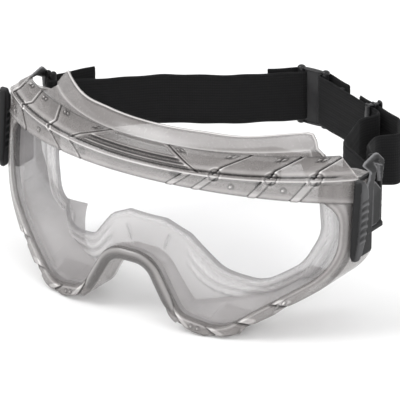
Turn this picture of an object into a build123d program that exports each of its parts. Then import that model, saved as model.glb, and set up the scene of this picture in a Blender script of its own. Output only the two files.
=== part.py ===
from build123d import *
import os
from math import hypot, sqrt

os.makedirs("parts", exist_ok=True)

# Safety goggles.  +X is the wearer's left, -Y is forward, +Z is up.  The origin lies midway
# between the two upper front corners of the frame.

# ---- driving dimensions (mm) ---------------------------------------------------------------
HALF_WIDTH = 85.0        # centre line to the side of the frame
BOW = 35.0               # the front ridge bows this far forward of its ends
LEAN = 0.075             # the front leans forward by this much per mm of drop
DECK_RISE = 8.0          # height of the sloping deck above the ridge
DECK_RUN = 7.2           # depth of the deck's slope
SIDE_DEPTH = 12.5        # rear edge of the side walls
WALL = 2.6               # wall of the soft frame
SIDE_WALL = 6.0          # thicker side walls, which carry the clips
FLOOR_Z = -70.0          # height of the floor at its front edge
FLOOR_Y = -40.0          # place of the floor's front edge
FLOOR_SLOPE = 0.33       # rise of the floor per mm rearwards

CHEEK_Z = -40.0          # outline: foot of the straight side
LOW_X, LOW_Z = 42.0, -70.5          # outline: lowest corner under the cheek
NOSE_FOOT_X, NOSE_FOOT_Z = 21.0, -65.5   # outline: foot of the nose arch
NOSE_X, NOSE_Z = 8.0, -43.5         # outline: top of the nose arch
OUTLINE_RADII = (15.0, 12.0, 10.0, 7.0)  # corner radii, from the side to the nose

RIM = 5.0                # rim width round the lens window
RIM_LIP = 3.2            # rim width beyond the lens's own edge
APRON_SIDE = -11.0       # lower edge of the front apron at the sides
APRON_MID = -6.5         # lower edge of the front apron at the centre
LENS_T = 2.2             # lens thickness
LENS_INSET = 2.2         # front lip in front of the lens
LENS_PLAY = 0.15         # play of the lens in its groove
LENS_TOP = -1.0          # top edge of the lens
LENS_LEDGE = 1.8         # rear lip behind the lens

FACE_SET = 10.5          # the seal's middle lies this far behind the ridge
FACE_TUCK = 0.2          # the curved seal enters its flat wings by this much
SEAL_T = 2.0             # thickness of the face seal
SEAL_X = 57.5            # the seal turns flat beyond this
BROW_X = 65.0            # half width of the brow flap
BROW_TOP = 13.5          # top of the brow flap
BROW_SET = 8.5           # the flap's middle stands this far behind the ridge
BROW_SAG = 31.5          # the flap's ends lie this far behind its middle
BROW_STEM = 0.5          # upright part of the flap above the deck
BROW_FLARE = 4.0         # how far the brow flap leans back
BROW_T = 1.8             # thickness of the brow flap
BROW_CORNER = 4.0        # its rounded ends
EYE_X = 57.0             # eye opening: half width
EYE_TOP = -2.0           # eye opening: top edge
EYE_CHEEK_Z = -42.0      # eye opening: foot of its straight side
EYE_LOW_X, EYE_LOW_Z = 40.0, -55.0
EYE_NOSE_X, EYE_NOSE_Z = 24.0, -51.5
NOSE_FLAP_X, NOSE_FLAP_Z = 10.0, -28.5
EYE_RADII = (8.0, 12.0, 8.0, 8.0, 5.0)

VENT_T = 1.2             # thickness of the vent parts
VENT_DROP = -4.0         # lower edge of the upper baffle
VENT_X = 56.0            # half length of the upper baffle
LOW_VENT_X = 40.0        # centre of each lower vent
LOW_VENT_L = 14.0        # length of each lower vent
LOW_VENT_Y = (8.0 - BOW, 19.0 - BOW)     # front and rear edge of the lower vents
LOW_VENT_STAND = 1.0     # air gap under each lower vent cover
SLOT_W = 2.0             # width of one vent slot
SLOT_COUNT = 3           # slots under each lower cover
TOP_SLOT_X = (26.0, 34.0, 42.0, 50.0)    # slots in the deck, each side

PIVOT_Y, PIVOT_Z = 3.5, -17.0       # axis of the clip hinges
PIN_R = 1.4              # hinge pin
RUN_FIT = 0.05           # running clearance of the pin
PART_GAP = 0.3           # clearance between parts that move past each other
POCKET_DEPTH = 2.5       # side pocket that takes the clip
POCKET_Y = -0.2          # the pocket starts behind the front rim
POCKET_Z = (-38.0, -0.5)
BASE_T = 1.8             # clip base plate
BASE_Y = (0.0, 12.0)
BASE_Z = (-36.0, -2.0)
ARM_T = 1.8              # swivelling arm
HUB_R = 3.2              # boss of the arm round the pin
PLATE_TOP = -6.0         # top of the arm's side plate
POST_Y = (18.0, 22.5)    # rear post of the arm
LIMB_H = 3.2             # height of the lower limb
ARM_TOP = 3.4            # upper end of the arm
CROSS_TOP = 1.8          # top of the bar that joins post and upper limb
LIMB_REACH = 9.6         # the two limbs reach this far inwards
LIMB_T = 3.3             # width of the upper limb
LIMB_FOOT = 16.8         # front end of the upper limb
LIMB_CROWN = 19.5        # the upper limb rises to its full height here
PAD_T = 2.2              # ribbed grip pad
PAD_Y = (-3.4, 5.2)      # front and rear edge of the pad
PAD_LIP_Y = -0.1         # rear edge of the pad's thick front lip
PAD_Z = (-34.5, -0.8)
RIB_COUNT = 6
RIB_T = 0.6
BAR_R = 1.5              # strap bars of the clips

STRAP_W = 22.0           # elastic webbing
STRAP_T = 1.4
STRAP_TOP = -1.5
STRAP_PLAY = 0.2         # webbing to the bar inside its loop
BAR_X, BAR_Y = HALF_WIDTH - 7.0, 20.5     # strap bar of a clip
FOLD = 14.0              # sewn turn-back at the buckle

BUCKLE_X, BUCKLE_Y = 8.5, 86.5      # centre of the rear buckle
BUCKLE_PITCH = 12.0      # between the buckle's two bars
BUCKLE_BAR_R = 1.6
BUCKLE_PLATE = 2.0       # thickness of the buckle's end plates
LAYER_STEP = 3.0         # between the two webbing layers in the slider
SLIDER_AT = 38.0         # from the buckle's bar to the slider
SLIDER_L = 7.0           # length of the slider along the webbing
SLIDER_WALL = 1.4
SPLIT_RUN = 1.5          # the inner layer leaves the outer one this far past the slider
OUTER_RUN = 10.0         # the outer layer runs straight this far past the slider
TAIL_RUN = 12.0          # free tail beyond the middle of the slider
TACK_L = 2.5             # sewn bar tacks along the webbing
TACK_MARGIN = 2.0        # tacks stop this far from the webbing's edges

# ---- worked out from them ------------------------------------------------------------------
FRONT_R = (HALF_WIDTH**2 + BOW**2) / (2 * BOW)
ARC_Y = FRONT_R - BOW
FACE_SAG = BOW - FACE_SET + SIDE_DEPTH + SEAL_T - FACE_TUCK
FACE_R = (SEAL_X**2 + FACE_SAG**2) / (2 * FACE_SAG)
FACE_Y = FACE_R - BOW + FACE_SET
BROW_R = (BROW_X**2 + BROW_SAG**2) / (2 * BROW_SAG)
BROW_Y = BROW_R - BOW + BROW_SET
FRONT_REACH = BOW + SIDE_DEPTH + 25.0
REAR = SIDE_DEPTH        # plane that the front-view outlines are drawn in
STRAP_LOW = STRAP_TOP - STRAP_W
ARM_LOW = STRAP_LOW - PART_GAP - LIMB_H
POCKET_X = HALF_WIDTH - POCKET_DEPTH
ARM_X = POCKET_X + BASE_T + PART_GAP
PAD_X = ARM_X + ARM_T + PART_GAP
CLIP_BAR_WRAP = BAR_R + STRAP_PLAY + STRAP_T / 2
BUCKLE_WRAP = BUCKLE_BAR_R + STRAP_PLAY + STRAP_T / 2
CAVITY_R_GAP = LENS_INSET + LENS_T + LENS_LEDGE


def front_radius(z, inset=0.0):
    """Radius of the leaning front surface at height z, less an inset."""
    return FRONT_R - LEAN * z - inset


def deck_under(radius):
    """Height of the deck's underside at a radius."""
    return DECK_RISE - WALL - (radius - (FRONT_R - DECK_RUN - WALL)) * DECK_RISE / DECK_RUN


def mirrored(points):
    """A run of points on +X, followed by its mirror image."""
    return points + [(-x, z) for x, z in reversed(points)]


def frame_outline(shrink=0.0, rear=REAR):
    """Front view of the frame, drawn in the plane of its rear edge."""
    half = [
        (HALF_WIDTH, DECK_RISE),
        (HALF_WIDTH, CHEEK_Z),
        (LOW_X, LOW_Z),
        (NOSE_FOOT_X, NOSE_FOOT_Z),
        (NOSE_X, NOSE_Z),
    ]
    radii = [0.0, *OUTLINE_RADII]
    with BuildSketch(Plane.XZ.offset(-rear)) as outline:
        with BuildLine():
            FilletPolyline(*mirrored(half), radius=radii + radii[::-1], close=True)
        make_face()
        if shrink:
            offset(amount=-shrink)
    return outline.sketch


def eye_outline(rear=REAR):
    """Front view of the eye opening in the face seal."""
    half = [
        (EYE_X, EYE_TOP),
        (EYE_X, EYE_CHEEK_Z),
        (EYE_LOW_X, EYE_LOW_Z),
        (EYE_NOSE_X, EYE_NOSE_Z),
        (NOSE_FLAP_X, NOSE_FLAP_Z),
    ]
    radii = list(EYE_RADII)
    with BuildSketch(Plane.XZ.offset(-rear)) as outline:
        with BuildLine():
            FilletPolyline(*mirrored(half), radius=radii + radii[::-1], close=True)
        make_face()
    return outline.sketch


def turned(profile, axis_y=ARC_Y):
    """A solid of revolution about the upright axis at axis_y, from (radius, z) points."""
    with BuildPart() as solid:
        with BuildSketch(Plane((0, axis_y, 0), (1, 0, 0), (0, -1, 0))):
            with BuildLine():
                Polyline(*profile, close=True)
            make_face()
        revolve(axis=Axis((0, axis_y, 0), (0, 0, 1)))
    return solid.part


def floor_side(lift, y):
    """Height of the sloping floor at y, raised by lift."""
    return FLOOR_Z + lift + FLOOR_SLOPE * (y - FLOOR_Y)


def above_floor(lift):
    """Everything above the sloping floor, raised by lift."""
    front, back = -2 * BOW, 3 * SIDE_DEPTH
    with BuildPart() as space:
        with BuildSketch(Plane.YZ.offset(-2 * HALF_WIDTH)):
            with BuildLine():
                Polyline(
                    (front, floor_side(lift, front)),
                    (back, floor_side(lift, back)),
                    (back, HALF_WIDTH),
                    (front, HALF_WIDTH),
                    close=True,
                )
            make_face()
        extrude(amount=4 * HALF_WIDTH)
    return space.part


def finish(part, label):
    """Label a finished piece and write it out."""
    part.label = label
    export_step(part, f"parts/{label}.step")


# ---- front: lens, cavity and window --------------------------------------------------------
low = LOW_Z - WALL
lens_band = turned([
    (front_radius(LENS_TOP, LENS_INSET), LENS_TOP),
    (front_radius(low, LENS_INSET), low),
    (front_radius(low, LENS_INSET + LENS_T), low),
    (front_radius(LENS_TOP, LENS_INSET + LENS_T), LENS_TOP),
])
groove_band = turned([
    (front_radius(LENS_TOP, LENS_INSET - LENS_PLAY), LENS_TOP + LENS_PLAY),
    (front_radius(low, LENS_INSET - LENS_PLAY), low),
    (front_radius(low, LENS_INSET + LENS_T + LENS_PLAY), low),
    (front_radius(LENS_TOP, LENS_INSET + LENS_T + LENS_PLAY), LENS_TOP + LENS_PLAY),
])
deck_r = FRONT_R - DECK_RUN
front_envelope = turned([
    (FACE_R / 2, DECK_RISE),
    (deck_r, DECK_RISE),
    (FRONT_R, 0),
    (front_radius(low), low),
    (FACE_R / 2, low),
])
ledge_r = front_radius(0, CAVITY_R_GAP)
cavity_envelope = turned([
    (FACE_R / 2, DECK_RISE - WALL),
    (deck_r - WALL, DECK_RISE - WALL),
    (ledge_r, deck_under(ledge_r)),
    (front_radius(low, CAVITY_R_GAP), low),
    (FACE_R / 2, low),
])

with BuildPart() as lens:
    extrude(frame_outline(RIM_LIP), amount=FRONT_REACH)
    add(lens_band, mode=Mode.INTERSECT)
finish(lens.part, "lens")

with BuildPart() as lens_groove:
    extrude(frame_outline(RIM_LIP - LENS_PLAY), amount=FRONT_REACH)
    add(groove_band, mode=Mode.INTERSECT)

with BuildPart() as window:
    extrude(frame_outline(RIM), amount=FRONT_REACH)
    with BuildSketch(Plane.XZ.offset(-REAR)):
        with BuildLine():
            Line((-HALF_WIDTH, APRON_SIDE), (-HALF_WIDTH, LOW_Z))
            Line((-HALF_WIDTH, LOW_Z), (HALF_WIDTH, LOW_Z))
            Line((HALF_WIDTH, LOW_Z), (HALF_WIDTH, APRON_SIDE))
            ThreePointArc((HALF_WIDTH, APRON_SIDE), (0, APRON_MID), (-HALF_WIDTH, APRON_SIDE))
        make_face()
    extrude(amount=FRONT_REACH, mode=Mode.INTERSECT)

with BuildPart() as cavity:
    extrude(frame_outline(WALL), amount=FRONT_REACH)
    add(cavity_envelope, mode=Mode.INTERSECT)
    add(above_floor(WALL), mode=Mode.INTERSECT)
    Box(2 * (HALF_WIDTH - SIDE_WALL), 8 * HALF_WIDTH, 4 * HALF_WIDTH, mode=Mode.INTERSECT)

# pockets in both sides for the clips
with BuildPart() as side_pockets:
    with BuildSketch(Plane.YZ.offset(-2 * HALF_WIDTH)):
        with Locations((POCKET_Y, POCKET_Z[0])):
            Rectangle(4 * SIDE_DEPTH, POCKET_Z[1] - POCKET_Z[0], align=(Align.MIN, Align.MIN))
    extrude(amount=4 * HALF_WIDTH)
    Box(2 * POCKET_X, 8 * HALF_WIDTH, 8 * HALF_WIDTH, mode=Mode.SUBTRACT)

# flared flap that stands on the rear of the deck
with BuildPart() as brow_flap:
    with BuildSketch(Plane.XZ.offset(-BROW_R)):
        with Locations((0, BROW_TOP)):
            RectangleRounded(2 * BROW_X, 2 * (BROW_TOP - DECK_RISE + BROW_STEM), BROW_CORNER)
    extrude(amount=2 * BROW_R)
    add(
        turned([
            (BROW_R, DECK_RISE - BROW_STEM),
            (BROW_R, DECK_RISE + BROW_STEM),
            (BROW_R - BROW_FLARE, BROW_TOP),
            (BROW_R - BROW_T - BROW_FLARE, BROW_TOP),
            (BROW_R - BROW_T, DECK_RISE + BROW_STEM),
            (BROW_R - BROW_T, DECK_RISE - BROW_STEM),
        ], BROW_Y),
        mode=Mode.INTERSECT,
    )

# ---- soft frame ----------------------------------------------------------------------------
vent_mid_y = (LOW_VENT_Y[0] + LOW_VENT_Y[1]) / 2
vent_len_y = LOW_VENT_Y[1] - LOW_VENT_Y[0]
slot_pitch = LOW_VENT_L / (SLOT_COUNT + 1)

with BuildPart() as frame_body:
    extrude(frame_outline(), amount=FRONT_REACH)
    add(front_envelope, mode=Mode.INTERSECT)
    add(above_floor(0), mode=Mode.INTERSECT)
    add(cavity.part, mode=Mode.SUBTRACT)
    add(window.part, mode=Mode.SUBTRACT)
    add(lens_groove.part, mode=Mode.SUBTRACT)
    # rear face, hollowed to the curve of the face
    with BuildSketch(Plane.XY.offset(2 * LOW_Z)):
        with Locations((0, FACE_Y)):
            Circle(FACE_R)
    extrude(amount=-4 * LOW_Z, mode=Mode.SUBTRACT)
    add(side_pockets.part, mode=Mode.SUBTRACT)
    # vent slots, in the deck and in the floor
    for x in TOP_SLOT_X:
        for side in (1, -1):
            arc_y = ARC_Y - sqrt((deck_r - 2 * SLOT_W) ** 2 - x**2)
            with Locations((side * x, arc_y, DECK_RISE)):
                Box(2 * SLOT_W, SLOT_W, 3 * WALL, mode=Mode.SUBTRACT)
    for side in (1, -1):
        for i in range(SLOT_COUNT):
            x = side * (LOW_VENT_X + (i - (SLOT_COUNT - 1) / 2) * slot_pitch)
            with Locations((x, vent_mid_y, floor_side(0, vent_mid_y))):
                Box(SLOT_W, vent_len_y / 2, 3 * WALL, mode=Mode.SUBTRACT)
    add(brow_flap.part)
finish(frame_body.part, "frame_body")

# ---- face seal -----------------------------------------------------------------------------
seal_r = FACE_R - SEAL_T
seal_sheet = turned([
    (FACE_R, low),
    (FACE_R, DECK_RISE),
    (seal_r, DECK_RISE),
    (seal_r, low),
], FACE_Y)

wing_rear = REAR + SEAL_T
wing_sketch = frame_outline(0, wing_rear)

with BuildPart() as wings:
    extrude(wing_sketch, amount=SEAL_T)
    Box(2 * SEAL_X, 8 * HALF_WIDTH, 8 * HALF_WIDTH, mode=Mode.SUBTRACT)
    add(above_floor(0), mode=Mode.INTERSECT)

with BuildPart() as face_seal:
    extrude(wing_sketch, amount=FRONT_REACH)
    add(seal_sheet, mode=Mode.INTERSECT)
    Box(2 * SEAL_X, 8 * HALF_WIDTH, 8 * HALF_WIDTH, mode=Mode.INTERSECT)
    add(wings.part)
    add(side_pockets.part, mode=Mode.SUBTRACT)
    add(above_floor(0), mode=Mode.INTERSECT)
    extrude(eye_outline(wing_rear + SEAL_T), amount=FRONT_REACH, mode=Mode.SUBTRACT)
finish(face_seal.part, "face_seal")

# ---- vents ---------------------------------------------------------------------------------
baffle_r = deck_r - WALL + VENT_T
with BuildPart() as upper_vent_baffle:
    with BuildSketch(Plane.XZ.offset(-REAR)):
        with Locations((0, DECK_RISE)):
            Rectangle(2 * VENT_X, DECK_RISE - VENT_DROP, align=(Align.CENTER, Align.MAX))
    extrude(amount=FRONT_REACH)
    add(
        turned([
            (baffle_r, VENT_DROP),
            (baffle_r + VENT_T, VENT_DROP),
            (baffle_r + VENT_T, deck_under(baffle_r + VENT_T)),
            (baffle_r, deck_under(baffle_r)),
        ]),
        mode=Mode.INTERSECT,
    )
finish(upper_vent_baffle.part, "upper_vent_baffle")

for side, name in ((1, "left"), (-1, "right")):
    with BuildPart() as vent_cover:
        with BuildSketch(Plane.YZ.offset(side * LOW_VENT_X - LOW_VENT_L / 2)):
            with BuildLine():
                Polyline(
                    (LOW_VENT_Y[0], floor_side(0, LOW_VENT_Y[0])),
                    (LOW_VENT_Y[1], floor_side(0, LOW_VENT_Y[1])),
                    (LOW_VENT_Y[1], floor_side(-LOW_VENT_STAND - VENT_T, LOW_VENT_Y[1])),
                    (LOW_VENT_Y[0], floor_side(-LOW_VENT_STAND - VENT_T, LOW_VENT_Y[0])),
                    close=True,
                )
            make_face()
        extrude(amount=LOW_VENT_L)
        # air gap, open at both ends
        with BuildSketch(Plane.YZ.offset(side * LOW_VENT_X - LOW_VENT_L)):
            gap_y = (LOW_VENT_Y[0] + VENT_T, LOW_VENT_Y[1] - VENT_T)
            with BuildLine():
                Polyline(
                    (gap_y[0], floor_side(VENT_T, gap_y[0])),
                    (gap_y[1], floor_side(VENT_T, gap_y[1])),
                    (gap_y[1], floor_side(-LOW_VENT_STAND, gap_y[1])),
                    (gap_y[0], floor_side(-LOW_VENT_STAND, gap_y[0])),
                    close=True,
                )
            make_face()
        extrude(amount=2 * LOW_VENT_L, mode=Mode.SUBTRACT)
    finish(vent_cover.part, f"lower_vent_cover_{name}")

# ---- clips ---------------------------------------------------------------------------------
pad_height = PAD_Z[1] - PAD_Z[0]
pad_width = PAD_Y[1] - PAD_Y[0]
rib_pitch = pad_height / (RIB_COUNT + 1)
lower_limb = (ARM_LOW, STRAP_LOW - PART_GAP)
cross_bar = (STRAP_TOP + PART_GAP, CROSS_TOP)

for side, name in ((1, "left"), (-1, "right")):
    with BuildPart() as clip_base:
        with BuildSketch(Plane.YZ.offset(side * POCKET_X)):
            with Locations(((BASE_Y[0] + BASE_Y[1]) / 2, (BASE_Z[0] + BASE_Z[1]) / 2)):
                RectangleRounded(BASE_Y[1] - BASE_Y[0], BASE_Z[1] - BASE_Z[0], PIN_R)
            with Locations((PIVOT_Y, PIVOT_Z)):
                Circle(PIN_R + RUN_FIT, mode=Mode.SUBTRACT)
        extrude(amount=side * BASE_T)
    finish(clip_base.part, f"clip_base_{name}")

    with BuildPart() as pivot_pin:
        with BuildSketch(Plane.YZ.offset(side * POCKET_X)):
            with Locations((PIVOT_Y, PIVOT_Z)):
                Circle(PIN_R)
        extrude(amount=side * (PAD_X + PAD_T - POCKET_X))
    finish(pivot_pin.part, f"pivot_pin_{name}")

    with BuildPart() as clip_arm:
        with BuildSketch(Plane.YZ.offset(side * ARM_X)):
            with Locations((PIVOT_Y, PIVOT_Z)):
                Circle(HUB_R)
            with Locations((PIVOT_Y, ARM_LOW)):
                Rectangle(
                    POST_Y[1] - PIVOT_Y, PLATE_TOP - ARM_LOW, align=(Align.MIN, Align.MIN)
                )
            with Locations((POST_Y[0], ARM_LOW)):
                Rectangle(
                    POST_Y[1] - POST_Y[0], CROSS_TOP - ARM_LOW, align=(Align.MIN, Align.MIN)
                )
            with Locations((PIVOT_Y, PIVOT_Z)):
                Circle(PIN_R + RUN_FIT, mode=Mode.SUBTRACT)
        extrude(amount=side * ARM_T)
        # limbs that reach in from the post and hold the strap bar
        for z0, z1 in (lower_limb, cross_bar):
            with BuildSketch(Plane.XY.offset(z0)):
                with Locations((side * (ARM_X + ARM_T), (POST_Y[0] + POST_Y[1]) / 2)):
                    Rectangle(
                        LIMB_REACH,
                        POST_Y[1] - POST_Y[0],
                        align=(Align.MAX if side > 0 else Align.MIN, Align.CENTER),
                    )
            extrude(amount=z1 - z0)
        with BuildSketch(Plane.YZ.offset(side * (ARM_X + ARM_T - LIMB_REACH))):
            with BuildLine():
                Polyline(
                    (LIMB_FOOT, cross_bar[0]),
                    (LIMB_CROWN, ARM_TOP),
                    (POST_Y[1], ARM_TOP),
                    (POST_Y[1], cross_bar[0]),
                    close=True,
                )
            make_face()
        extrude(amount=side * LIMB_T)
        with BuildSketch(Plane.XY.offset(lower_limb[0])):
            with Locations((side * BAR_X, BAR_Y)):
                Circle(BAR_R)
        extrude(amount=cross_bar[1] - lower_limb[0])
    finish(clip_arm.part, f"clip_arm_{name}")

    with BuildPart() as grip_pad:
        with BuildSketch(Plane.YZ.offset(side * PAD_X)):
            with Locations(((PAD_Y[0] + PAD_Y[1]) / 2, (PAD_Z[0] + PAD_Z[1]) / 2)):
                RectangleRounded(pad_width, pad_height, PIN_R)
            with Locations((PIVOT_Y, PIVOT_Z)):
                Circle(PIN_R + RUN_FIT, mode=Mode.SUBTRACT)
        extrude(amount=side * PAD_T)
        # thick front lip, which covers the edge of the arm
        with BuildSketch(Plane.YZ.offset(side * (HALF_WIDTH + PART_GAP))):
            with Locations((PAD_Y[0], (PAD_Z[0] + PAD_Z[1]) / 2)):
                Rectangle(
                    PAD_LIP_Y - PAD_Y[0], pad_height - 2 * PIN_R, align=(Align.MIN, Align.CENTER)
                )
        extrude(amount=side * (PAD_X + PAD_T - HALF_WIDTH - PART_GAP))
        for i in range(RIB_COUNT):
            rib_z = PAD_Z[0] + (i + 1) * rib_pitch
            with BuildSketch(Plane.YZ.offset(side * (PAD_X + PAD_T))):
                with Locations(((PAD_Y[0] + PAD_Y[1]) / 2, rib_z)):
                    Rectangle(pad_width - PIN_R, rib_pitch / 2)
            extrude(amount=side * RIB_T)
    finish(grip_pad.part, f"grip_pad_{name}")

# ---- webbing -------------------------------------------------------------------------------


def unit(start, end):
    """Unit direction from one plan point to another."""
    length = hypot(end[0] - start[0], end[1] - start[1])
    return ((end[0] - start[0]) / length, (end[1] - start[1]) / length)


def beside(point, direction, along, across):
    """The plan point that lies along and to the left of a direction, from a point."""
    return (
        point[0] + direction[0] * along - direction[1] * across,
        point[1] + direction[1] * along + direction[0] * across,
    )


def webbing(points, radii):
    """A flat band on edge that follows a plan route."""
    with BuildPart() as band:
        with BuildSketch(Plane.XY.offset(STRAP_LOW)):
            with BuildLine():
                FilletPolyline(*points, radius=radii)
            trace(line_width=STRAP_T)
        extrude(amount=STRAP_W)
    return band.part


TURN = 0.97              # share of the wrap that each of its two corners rounds
bend = TURN * CLIP_BAR_WRAP
buckle_bend = TURN * BUCKLE_WRAP

# wearer's right: buckle, round the back of the head, clip bar, free tail
buckle_right = (BUCKLE_X - BUCKLE_PITCH / 2, BUCKLE_Y)
bar_right = (-BAR_X, BAR_Y)
RIGHT_BACK = (-20.0, 66.5)
RIGHT_MID = (-43.0, 49.5)
RIGHT_FRONT = (18.0 - BAR_X, 35.5)
RIGHT_TAIL_MID = (1.5 - BAR_X, 31.0)
RIGHT_TAIL_END = (6.5 - BAR_X, 41.0)
to_buckle = unit(RIGHT_BACK, buckle_right)
to_bar = unit(RIGHT_FRONT, bar_right)
right_route = [
    beside(buckle_right, to_buckle, -FOLD, BUCKLE_WRAP),
    beside(buckle_right, to_buckle, BUCKLE_WRAP, BUCKLE_WRAP),
    beside(buckle_right, to_buckle, BUCKLE_WRAP, -BUCKLE_WRAP),
    beside(RIGHT_BACK, to_buckle, 0, -BUCKLE_WRAP),
    RIGHT_MID,
    beside(RIGHT_FRONT, to_bar, 0, CLIP_BAR_WRAP),
    beside(bar_right, to_bar, CLIP_BAR_WRAP, CLIP_BAR_WRAP),
    beside(bar_right, to_bar, CLIP_BAR_WRAP, -CLIP_BAR_WRAP),
    RIGHT_TAIL_MID,
    RIGHT_TAIL_END,
]
strap_right = webbing(
    right_route, [buckle_bend, buckle_bend, 25.0, 25.0, 25.0, bend, bend, 15.0]
)
finish(strap_right, "strap_right")

# wearer's left: buckle, slider, inner layer, clip bar, outer layer, slider, free tail
buckle_left = (BUCKLE_X + BUCKLE_PITCH / 2, BUCKLE_Y)
bar_left = (BAR_X, BAR_Y)
LEFT_BACK = (29.0, 79.8)
away = unit(buckle_left, LEFT_BACK)
slider_at = beside(buckle_left, away, SLIDER_AT, -BUCKLE_WRAP)
split = beside(slider_at, away, SLIDER_L + SPLIT_RUN, 0)
INNER_BEND = (BAR_X - 27.0, 55.0)
INNER_MID = (BAR_X - 22.5, 41.0)
INNER_FRONT = (BAR_X - 18.0, 32.0)
OUTER_FRONT = (BAR_X - 9.5, 32.5)
OUTER_MID = (BAR_X - 12.0, 43.5)
OUTER_BULGE = (BAR_X - 3.5, 50.5)
to_left_bar = unit(INNER_FRONT, bar_left)
left_route = [
    beside(buckle_left, away, FOLD, BUCKLE_WRAP),
    beside(buckle_left, away, -BUCKLE_WRAP, BUCKLE_WRAP),
    beside(buckle_left, away, -BUCKLE_WRAP, -BUCKLE_WRAP),
    split,
    INNER_BEND,
    INNER_MID,
    beside(INNER_FRONT, to_left_bar, 0, -CLIP_BAR_WRAP),
    beside(bar_left, to_left_bar, CLIP_BAR_WRAP, -CLIP_BAR_WRAP),
    beside(bar_left, to_left_bar, CLIP_BAR_WRAP, CLIP_BAR_WRAP),
    OUTER_FRONT,
    OUTER_MID,
    OUTER_BULGE,
    beside(slider_at, away, SLIDER_L + OUTER_RUN, LAYER_STEP),
    beside(slider_at, away, -TAIL_RUN, LAYER_STEP),
]
left_radii = [buckle_bend, buckle_bend, 3.5, 9.0, 12.0, 12.0, bend, bend, 10.0, 5.0, 4.5, 6.0]
strap_left = webbing(left_route, left_radii)
finish(strap_left, "strap_left")

# ---- buckle --------------------------------------------------------------------------------
plate_l = BUCKLE_PITCH + 2 * BUCKLE_BAR_R
plate_w = 2 * (BUCKLE_WRAP + STRAP_T / 2)
with BuildPart() as rear_buckle:
    for x, y in (buckle_left, buckle_right):
        with BuildSketch(Plane.XY.offset(STRAP_LOW - PART_GAP - BUCKLE_PLATE)):
            with Locations((x, y)):
                Circle(BUCKLE_BAR_R)
        extrude(amount=STRAP_W + 2 * (PART_GAP + BUCKLE_PLATE))
    for z in (STRAP_LOW - PART_GAP - BUCKLE_PLATE, STRAP_TOP + PART_GAP):
        with BuildSketch(Plane.XY.offset(z)):
            with Locations((BUCKLE_X, BUCKLE_Y)):
                SlotOverall(plate_l + plate_w / 2, plate_w)
        extrude(amount=BUCKLE_PLATE)
finish(rear_buckle.part, "rear_buckle")

# ---- strap slider --------------------------------------------------------------------------
inside_w = LAYER_STEP + STRAP_T + 2 * PART_GAP
core_t = LAYER_STEP - STRAP_T - 2 * PART_GAP
plate_z = (STRAP_LOW - PART_GAP - SLIDER_WALL, STRAP_TOP + PART_GAP)
slider_plane = Plane((slider_at[0], slider_at[1], 0), (away[0], away[1], 0), (0, 0, 1))
with BuildPart() as strap_slider:
    with BuildSketch(slider_plane.offset(plate_z[0])):
        with Locations((0, LAYER_STEP / 2)):
            Rectangle(SLIDER_L, inside_w + 2 * SLIDER_WALL)
            Rectangle(SLIDER_L + 1, inside_w, mode=Mode.SUBTRACT)
            Rectangle(core_t, core_t)
    extrude(amount=STRAP_W + 2 * (PART_GAP + SLIDER_WALL))
    for z in plate_z:
        with BuildSketch(slider_plane.offset(z)):
            with Locations((0, LAYER_STEP / 2)):
                Rectangle(SLIDER_L, inside_w + 2 * SLIDER_WALL)
        extrude(amount=SLIDER_WALL)
finish(strap_slider.part, "strap_slider")

# ---- sewn bar tacks that hold the turn-backs ----------------------------------------------
tack_w = STRAP_W - 2 * TACK_MARGIN
tack_t = 2 * BUCKLE_WRAP - STRAP_T
with BuildPart() as strap_tacks:
    for bar, direction in ((buckle_left, away), (buckle_right, unit(buckle_right, RIGHT_BACK))):
        tack_plane = Plane((bar[0], bar[1], 0), (direction[0], direction[1], 0), (0, 0, 1))
        with BuildSketch(tack_plane.offset(STRAP_LOW + TACK_MARGIN)):
            with Locations((FOLD - TACK_L, 0)):
                Rectangle(TACK_L, tack_t)
        extrude(amount=tack_w)
finish(strap_tacks.part, "strap_tacks")
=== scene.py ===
"""Safety goggles: the visual model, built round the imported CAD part.

Lengths are in millimetres inside the functions and in metres in the meshes.
+X is the wearer's left, -Y is forward and +Z is up, as in the CAD.
"""
import math

import bmesh
import bpy
import numpy as np
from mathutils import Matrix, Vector
from mathutils.geometry import delaunay_2d_cdt


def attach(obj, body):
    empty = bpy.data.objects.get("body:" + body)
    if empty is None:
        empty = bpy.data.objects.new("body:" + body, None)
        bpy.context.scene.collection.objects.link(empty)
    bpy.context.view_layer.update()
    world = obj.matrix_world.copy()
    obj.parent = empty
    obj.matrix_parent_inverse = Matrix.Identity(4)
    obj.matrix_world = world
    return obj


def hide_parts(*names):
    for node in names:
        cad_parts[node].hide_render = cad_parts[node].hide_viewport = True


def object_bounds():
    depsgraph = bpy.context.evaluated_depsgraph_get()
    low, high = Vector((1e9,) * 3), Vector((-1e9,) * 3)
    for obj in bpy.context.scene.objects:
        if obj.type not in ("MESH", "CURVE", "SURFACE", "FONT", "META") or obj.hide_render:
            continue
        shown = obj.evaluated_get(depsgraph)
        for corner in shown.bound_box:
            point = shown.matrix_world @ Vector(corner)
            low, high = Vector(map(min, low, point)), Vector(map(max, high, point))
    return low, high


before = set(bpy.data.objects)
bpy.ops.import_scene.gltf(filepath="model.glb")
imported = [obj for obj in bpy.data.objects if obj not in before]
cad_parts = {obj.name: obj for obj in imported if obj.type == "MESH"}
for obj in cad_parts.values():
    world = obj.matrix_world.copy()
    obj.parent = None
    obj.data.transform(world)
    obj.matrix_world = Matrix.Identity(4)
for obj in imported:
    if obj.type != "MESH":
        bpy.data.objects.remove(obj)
CAD_BOX = [list(corner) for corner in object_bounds()]

MM = 0.001

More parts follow.
